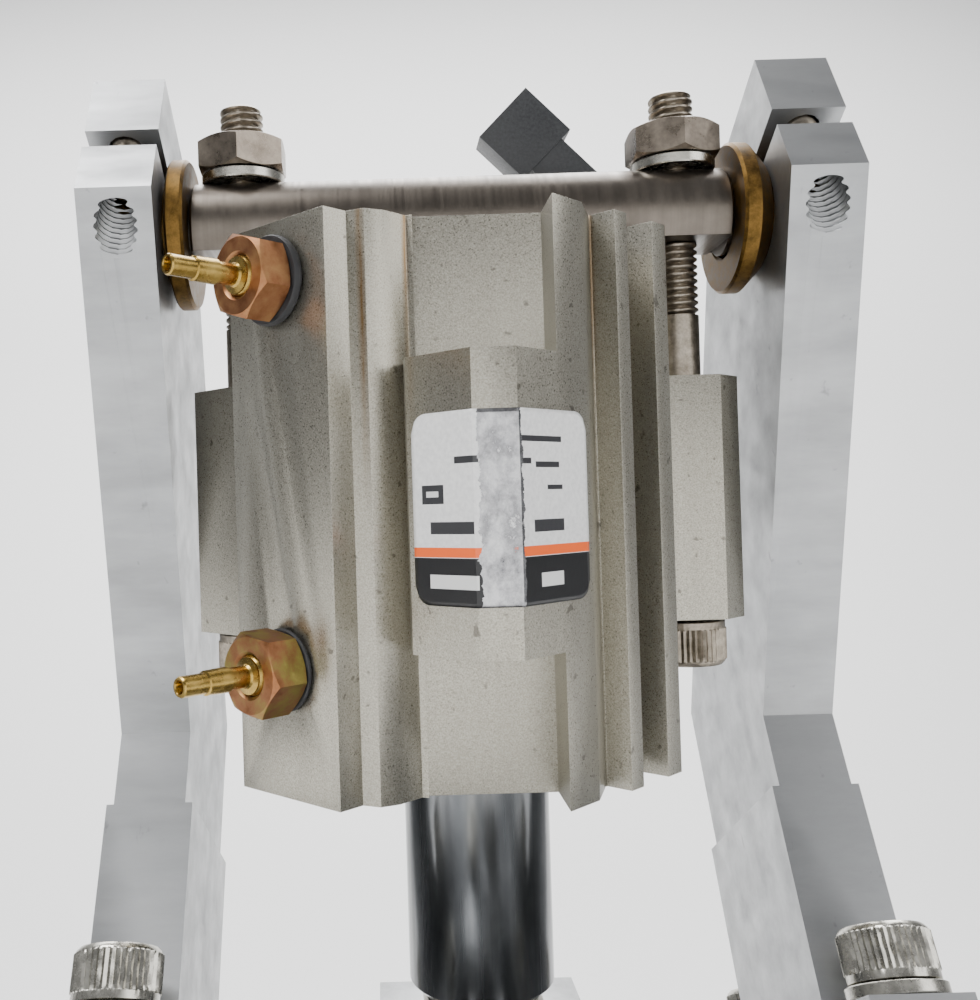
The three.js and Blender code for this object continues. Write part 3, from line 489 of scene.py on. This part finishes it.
def screw_head(bm, matrix, radius, height, socket, knurls=44):
    """Knurled cap head from z = 0 up to its top, with a rolled rim and a hexagon socket."""
    rim = radius - 0.22
    low, high = 0.95, height - 0.62
    profile = [(0, 0), (radius - 0.35, 0), (radius - 0.12, 0.14), (radius - 0.12, low - 0.1)]
    profile += [(radius, z) for z in steps_between(low, high, 0.45)]
    profile += [(radius - 0.16, high + 0.1), (radius - 0.2, height - 0.35), (rim - 0.3, height)]
    profile += [(socket / 2 + 0.55, height)]

    depth = height * SOCKET_DEPTH
    hexagonal = -1  # stands for the socket's own section
    profile += [(hexagonal, height), (hexagonal, height - 0.15), (hexagonal, height - depth)]
    profile += [(0, height - depth)]
    knurl = knurled(knurls, 0.24, low, high)

    def shape(angle, z, r):
        return hex_radius(angle, socket) if r < 0 else knurl(angle, z, r)

    revolve(bm, profile, matrix, knurls * 4, shape)


def cap_screw(name, matrix, head, shank, body, material, replaces, thread=0.8, plain=0.0):
    """Cap screw with its seat at z = 0, head above and shank below. head is (radius, height, socket)."""
    radius, height, socket = head
    shank_radius, length = shank

    def build(bm):
        screw_head(bm, matrix, radius, height, socket)
        turned = thread_profile(shank_radius, -length, -plain, thread)
        revolve(bm, turned, matrix, 28, thread_wave(thread, thread * 0.55, shank_radius))
        if plain:
            revolve(bm, [(0, -plain), (shank_radius, -plain), (shank_radius, 0.05), (0, 0.05)], matrix, 28)

    piece = piece_from(name, build, material, body)
    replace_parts(piece, replaces)
    return piece


def hex_nut(name, matrix, flats, thick, hole, body, material, replaces):
    """Hexagon nut with both ends chamfered to a circle."""
    corner = flats / math.sqrt(3)
    chamfer = flats / 2 * 0.98
    rise = (corner - chamfer) * math.tan(math.radians(30))

    def build(bm):
        steps = 72
        layers = [(hole + 0.3, 0, "round"), (chamfer, 0, "round"), (0, 0, "low"), (0, thick, "high"),
                  (chamfer, thick, "round"), (hole + 0.3, thick, "round"), (hole, thick - 0.3, "round"),
                  (hole, 0.3, "round")]
        rings = []
        for radius, z, kind in layers:
            def point(angle):
                side = hex_radius(angle, flats)
                lift = (side - chamfer) / (corner - chamfer) * rise
                r = radius if kind == "round" else side
                height = {"round": z, "low": lift, "high": thick - lift}[kind]
                return r * math.cos(angle), r * math.sin(angle), height

            rings.append(ring_of(bm, matrix, steps, point))
        join_rings(bm, rings + rings[:1])

    piece = piece_from(name, build, material, body, 24)
    if replaces:
        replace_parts(piece, replaces)
    return piece


def lathe_piece(name, profile, matrix, body, material, replaces=None, steps=72, angle=32):
    piece = piece_from(name, lambda bm: revolve(bm, profile, matrix, steps), material, body, angle)
    if replaces:
        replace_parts(piece, replaces)
    return piece


# ---------- camera, light and stage ----------
def make_camera():
    """Camera solved from the cylinder body's edges, in the cylinder frame."""
    yaw, pitch, roll = -0.00626, 0.0056, -0.0300
    forward = Vector((math.sin(yaw) * math.cos(pitch), math.cos(yaw) * math.cos(pitch), math.sin(pitch)))
    right = Vector((math.cos(yaw), -math.sin(yaw), 0))
    up = right.cross(forward)
    right, up = (math.cos(roll) * right + math.sin(roll) * up, -math.sin(roll) * right + math.cos(roll) * up)
    turn = CYLINDER.to_3x3()
    place = CYLINDER @ (Vector((-9.944, -118.122, 0.124)) * MM)
    data = bpy.data.cameras.new("camera")
    data.sensor_fit = "AUTO"
    data.sensor_width = 36
    data.lens = 37.93
    data.shift_x = 0.1181
    data.clip_start = 0.005
    data.dof.use_dof = False
    camera = bpy.data.objects.new("camera", data)
    camera.matrix_world = axes_matrix(turn @ right, turn @ up, -(turn @ forward), place)
    bpy.context.scene.collection.objects.link(camera)
    bpy.context.scene.camera = camera


def area_light(name, place, target, size, power, colour=(1, 1, 1)):
    data = bpy.data.lights.new(name, "AREA")
    data.shape = "RECTANGLE"
    data.size, data.size_y = size
    data.energy = power
    data.color = colour
    light = bpy.data.objects.new(name, data)
    light.location = place
    light.rotation_euler = (Vector(target) - Vector(place)).to_track_quat("-Z", "Y").to_euler()
    bpy.context.scene.collection.objects.link(light)


def make_stage():
    """Pale floor that curves up into a pale backdrop behind the object."""
    floor_z = cad_box[0].z - 0.001
    wall_y, bend, top, half = 0.62, 0.25, 2.4, 2.2
    outline = [(-1.6, floor_z), (wall_y - bend, floor_z)]
    for i in range(1, 13):
        angle = math.pi / 2 * i / 12
        outline.append((wall_y - bend + bend * math.sin(angle), floor_z + bend * (1 - math.cos(angle))))
    outline.append((wall_y, top))
    mesh = bpy.data.meshes.new("backdrop")
    verts = [(x, y, z) for y, z in outline for x in (-half, half)]
    faces = [(2 * i, 2 * i + 1, 2 * i + 3, 2 * i + 2) for i in range(len(outline) - 1)]
    mesh.from_pydata(verts, [], faces)
    mesh.polygons.foreach_set("use_smooth", [True] * len(mesh.polygons))
    s = Shader("backdrop")
    # painted shade of cloth folds: soft patches of the flat backdrop are a little darker (0.88 against 0.93)
    fold_shade = s.noise(s.stretched((1.6, 1.6, 0.9)), 1.0, 2.0, 0.4)
    mesh.materials.append(s.finish(s.ramp(fold_shade, (0.3, (0.88, 0.88, 0.88)), (0.7, (0.93, 0.93, 0.925))), 0.9))
    backdrop = bpy.data.objects.new("backdrop", mesh)
    bpy.context.scene.collection.objects.link(backdrop)


def make_lights():
    world = bpy.data.worlds.new("studio")
    bpy.context.scene.world = world
    world.use_nodes = True
    world.node_tree.nodes["Background"].inputs["Color"].default_value = (0.80, 0.81, 0.83, 1)
    world.node_tree.nodes["Background"].inputs["Strength"].default_value = 0.30
    middle = CYLINDER.translation
    area_light("key", middle + Vector((-0.35, -0.55, 0.55)), middle, (0.4, 0.4), 8.0)
    area_light("fill", middle + Vector((0.55, -0.45, 0.10)), middle, (0.4, 0.6), 2.2)
    area_light("top", middle + Vector((0.05, 0.05, 0.65)), middle, (0.7, 0.5), 6.0)
    area_light("wall", Vector((0, 0.05, 1.0)), Vector((0, 0.62, 0.55)), (1.4, 0.6), 15.0)


make_camera()
make_stage()
make_lights()

# ---------- pieces that stand for CAD nodes ----------
def copied_piece(node, material, body, cutters=(), bevel=0.00025):
    """A clean copy of a CAD node with finer cuts, so that bevels and threads are real geometry."""
    def build(bm):
        bm.from_mesh(frame["nodes"][node].data)
        bmesh.ops.remove_doubles(bm, verts=bm.verts, dist=2e-6)
        bmesh.ops.dissolve_limit(bm, angle_limit=math.radians(1), verts=bm.verts, edges=bm.edges)

    piece = piece_from(node + "_body", build, material, body, 30)
    for i, cutter in enumerate(cutters):
        cut = piece.modifiers.new(f"cut_{i}", "BOOLEAN")
        cut.operation = "DIFFERENCE"
        cut.solver = "EXACT"
        cut.object = cutter
    bpy.context.view_layer.update()
    evaluated = piece.evaluated_get(bpy.context.evaluated_depsgraph_get())
    final = bpy.data.meshes.new_from_object(evaluated)
    piece.modifiers.clear()
    piece.data = final
    for cutter in cutters:
        bpy.data.objects.remove(cutter)
    final.polygons.foreach_set("use_smooth", [True] * len(final.polygons))
    final.set_sharp_from_angle(angle=math.radians(30))
    rounded = piece.modifiers.new("edges", "BEVEL")
    rounded.limit_method = "ANGLE"
    rounded.angle_limit = math.radians(40)
    rounded.width = bevel
    rounded.segments = 2
    rounded.harden_normals = True
    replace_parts(piece, node)
    return piece


def cutter_object(name, build):
    mesh = bpy.data.meshes.new(name)
    bm = bmesh.new()
    build(bm)
    bmesh.ops.recalc_face_normals(bm, faces=bm.faces)
    bm.to_mesh(mesh)
    bm.free()
    cutter = bpy.data.objects.new(name, mesh)
    bpy.context.scene.collection.objects.link(cutter)
    return cutter


def make_arms():
    """Side arms with a real thread cut up into each clamp hole."""
    for side, sign in SIDES:
        hole = PLATE @ at(sign * ARM_MIDDLE, CLAMP_Y, 0)
        thread = cutter_object(f"thread_{side}", lambda bm: revolve(
            bm, thread_profile(2.3, 60, 87, 0.75), hole, 36, thread_wave(0.75, 0.42, 2.3)))
        copied_piece(f"arm_{side}", ARM_METAL, "frame", [thread])


def make_fasteners():
    washer_z = 36.3
    for side, sign in SIDES:
        x = sign * BOLT_X
        turned = CYLINDER @ at(x, 0, -LOBE_HALF - 0.3) @ Matrix.Rotation(math.pi, 4, "X")
        cap_screw(f"long_screw_{side}_turned", turned, (4.25, 4.9, 4.0), (2.4, 58.5), "cylinder",
                  SCREW_STEEL, f"long_screw_{side}", 0.8, 33.7)
        split_washer(f"nut_lock_washer_{side}_split", CYLINDER @ at(x, 0, washer_z), 4.6, 2.8, 1.1,
                     "cylinder", f"nut_lock_washer_{side}")
        hex_nut(f"nut_{side}_turned", CYLINDER @ at(x, 0, washer_z + 1.3), 9.2, 3.6, 2.55, "cylinder",
                NUT_STEEL, f"nut_{side}")
        arm_x = sign * ARM_MIDDLE
        for end, y in (("front", -20.05), ("rear", 20.05)):
            cap_screw(f"foot_screw_{end}_{side}_turned", PLATE @ at(arm_x, y, 9.4), (4.3, 5.0, 4.0),
                      (2.5, 18.4), "frame", BRIGHT_PLATE, f"foot_screw_{end}_{side}")
            split_washer(f"foot_lock_washer_{end}_{side}_split", PLATE @ at(arm_x, y, 8.1), 4.6, 2.8, 1.2,
                         "frame", f"foot_lock_washer_{end}_{side}")
        cap_screw(f"fixed_jaw_screw_{side}_turned", PLATE @ at(sign * 8, -36, 0.1), (4.25, 5.0, 4.0),
                  (2.5, 23.1), "frame", BRIGHT_PLATE, f"fixed_jaw_screw_{side}")


def split_washer(name, matrix, outer, inner, thick, body, replaces):
    """Spring washer: a square-section ring with a slanted split, slightly sprung open."""
    steps, gap = 60, 0.07
    section = ((inner, 0), (outer - 0.1, 0), (outer, 0.12), (outer, thick - 0.12), (outer - 0.1, thick),
               (inner, thick))

    def build(bm):
        rings = []
        for i in range(steps + 1):
            angle = gap + (2 * math.pi - 2 * gap) * i / steps
            lift = 0.12 * (i / steps - 0.5)
            points = [(r * math.cos(angle), r * math.sin(angle), min(thick, max(0, z + lift)))
                      for r, z in section]
            rings.append([bm.verts.new(matrix @ (Vector(point) * MM)) for point in points])
        join_rings(bm, rings)
        bm.faces.new(rings[0])
        bm.faces.new(rings[-1])

    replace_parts(piece_from(name, build, BRIGHT_PLATE, body), replaces)


def make_shaft_and_bushes():
    """Cross shaft with its flat underside, and the bushes' flanges with turned edges."""
    radius, journal = 5.55, 4.0
    x0, x1, end = -29.4, 29.1, 41.0
    flat = -2.8  # height of the flat underside from the shaft's centre
    stations = [(-end, 0), (-end, journal - 0.4), (-end + 0.4, journal), (x0, journal), (x0, radius - 0.3),
                (x0 + 0.3, radius), (x1 - 0.3, radius), (x1, radius - 0.3), (x1, journal),
                (end - 0.4, journal), (end, journal - 0.4), (end, 0)]

    def build(bm):
        centre = CYLINDER @ at(0, 0, SHAFT_Z)
        rings = []
        for x, r in stations:
            if r == 0:
                rings.append([bm.verts.new(centre @ Vector((x * MM, 0, 0)))])
                continue
            lowest = flat if r > journal else -r

            def point(angle):
                return x, r * math.cos(angle), max(lowest, r * math.sin(angle))

            rings.append(ring_of(bm, centre, 96, point))
        join_rings(bm, rings)

    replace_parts(piece_from("cross_shaft_turned", build, SHAFT_STEEL, "cylinder"), "cross_shaft")
    thick, flange, neck, sleeve, hole, outer = 1.9, 8.2, 6.3, 5.5, 4.25, 40.6
    for side, sign in SIDES:
        face = BUSH_FACES[side]
        profile = closed_loop([(hole, outer), (hole, face + 0.3), (hole + 0.3, face), (flange - 0.3, face),
                               (flange, face + 0.3), (flange, face + thick - 0.2),
                               (flange - 0.2, face + thick), (neck, 32.4), (sleeve, 32.4), (sleeve, outer)])
        place = axes_matrix(Vector((0, 1, 0)), Vector((0, 0, sign)), Vector((sign, 0, 0)),
                            Vector((0, TRUNNION.y, TRUNNION.z)))
        lathe_piece(f"flanged_bush_{side}_turned", profile, place, "frame", BRONZE,
                    f"flanged_bush_{side}")


def make_fittings():
    """Barbed hose fittings: a brass barb, a hexagon with chamfered corners, and a moulded seal."""
    for end, (height, seal, seal_radius, turn) in PORTS.items():
        seat = SQUARE @ at(0, -PORT_FACE - 0.15, height) @ Matrix.Rotation(math.pi / 2, 4, "X")
        top, tip = 4.35, 11.85
        barb = closed_loop([
            (0.6, -4), (1.9, -4), (1.9, seal), (1.9, top - 0.3), (1.7, top), (1.7, top + 0.15),
            (1.15, top + 0.3), (1.0, top + 0.5), (1.0, top + 2.4), (1.17, top + 2.5), (1.12, top + 4.8),
            (0.95, top + 4.9),
            (0.95, tip - 0.15), (0.85, tip), (0.66, tip), (0.6, tip - 0.1)])
        lathe_piece(f"hose_barb_{end}", barb, seat, "cylinder", BRASS, f"hose_fitting_{end}", 48)
        turned = seat @ at(0, 0, seal + 0.1) @ Matrix.Rotation(math.radians(turn), 4, "Z")
        hex_nut(f"hose_hexagon_{end}", turned, 7.2, top - seal - 0.1, 1.95, "cylinder",
                HEX_CLEAN if end == "rear" else HEX_GREEN, None)
        seal_profile = closed_loop([
            (2.3, 0), (seal_radius - 0.15, 0), (seal_radius, seal * 0.25), (seal_radius, seal * 0.7),
            (seal_radius - 0.15, seal), (2.3, seal)])
        lathe_piece(f"fitting_seal_{end}_moulded", seal_profile, seat, "cylinder", RUBBER,
                    f"fitting_seal_{end}")


def make_rod():
    profile = [(0, -54.0), (6.4, -54.0), (8, -52.4), (8, -13.3), (4.9, -13.3), (4.9, 3.5), (0, 3.5)]
    lathe_piece("piston_rod_ground", profile, CYLINDER, "rod", CHROME, "piston_rod", 96)
    hexagon = CYLINDER @ at(0, 0, -56.9)
    hex_nut("yoke_lock_nut_turned", hexagon, 13, 2.6, 3.4, "rod", BRIGHT_PLATE, "yoke_lock_nut")


def label_path(offset):
    """Points round the front lobe with their distance along the label."""
    chamfer = 2.7
    lean = offset * math.tan(math.radians(22.5))
    corners = [(12.9, -FACE - offset), (FACE - chamfer + lean, -FACE - offset),
               (FACE + offset, -FACE + chamfer - lean), (FACE + offset, -10.1)]
    points, travelled = [], 0.0
    for (x0, y0), (x1, y1) in zip(corners, corners[1:]):
        length = math.hypot(x1 - x0, y1 - y0)
        count = max(2, round(length / 0.4))
        for i in range(count):
            t = i / count
            points.append((x0 + (x1 - x0) * t, y0 + (y1 - y0) * t, travelled + length * t))
        travelled += length
    points.append((*corners[-1], travelled))
    return points


def make_label():
    """Film wrapped over the lobe's two flats and its chamfer, with rounded outer corners."""
    low, high, corner = -8.7, 8.0, 1.7
    path = label_path(0.12)
    total = path[-1][2]
    rows = 40

    def build(bm):
        uv = bm.loops.layers.uv.new("UVMap")
        columns = []
        for x, y, u in path:
            near_end = min(u, total - u)
            inward = corner - min(corner, near_end)
            trim = corner - math.sqrt(corner ** 2 - inward ** 2)
            column = []
            for j in range(rows + 1):
                v = low + trim + (high - low - 2 * trim) * j / rows
                column.append((bm.verts.new(SQUARE @ (Vector((x, y, v)) * MM)), (u, v)))
            columns.append(column)
        for first, second in zip(columns, columns[1:]):
            for j in range(rows):
                corners = (first[j], second[j], second[j + 1], first[j + 1])
                face = bm.faces.new([vert for vert, _ in corners])
                for loop, (_, place) in zip(face.loops, corners):
                    loop[uv].uv = place

    label = piece_from("rating_label_film", build, LABEL, "cylinder", 20)
    solid = label.modifiers.new("film", "SOLIDIFY")
    solid.thickness = 0.00008
    solid.offset = 0
    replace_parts(label, "rating_label")


make_arms()
make_fasteners()
make_shaft_and_bushes()
make_fittings()
make_rod()
make_label()

# ---------- CAD nodes ----------
for node_name, node_object in frame["nodes"].items():
    node_object.data.materials.clear()
    node_object.data.materials.append(node_finish(node_name))
    node_object.data.polygons.foreach_set("use_smooth", [True] * len(node_object.data.polygons))
    weld = node_object.modifiers.new("weld", "WELD")
    weld.merge_threshold = 2e-6
    dissolve = node_object.modifiers.new("flatten", "DECIMATE")
    dissolve.decimate_type = "DISSOLVE"
    dissolve.angle_limit = math.radians(1)
    bevel = node_object.modifiers.new("edges", "BEVEL")
    bevel.limit_method = "ANGLE"
    bevel.angle_limit = math.radians(35)
    bevel.width = 0.00022
    bevel.segments = 2
    bevel.harden_normals = True
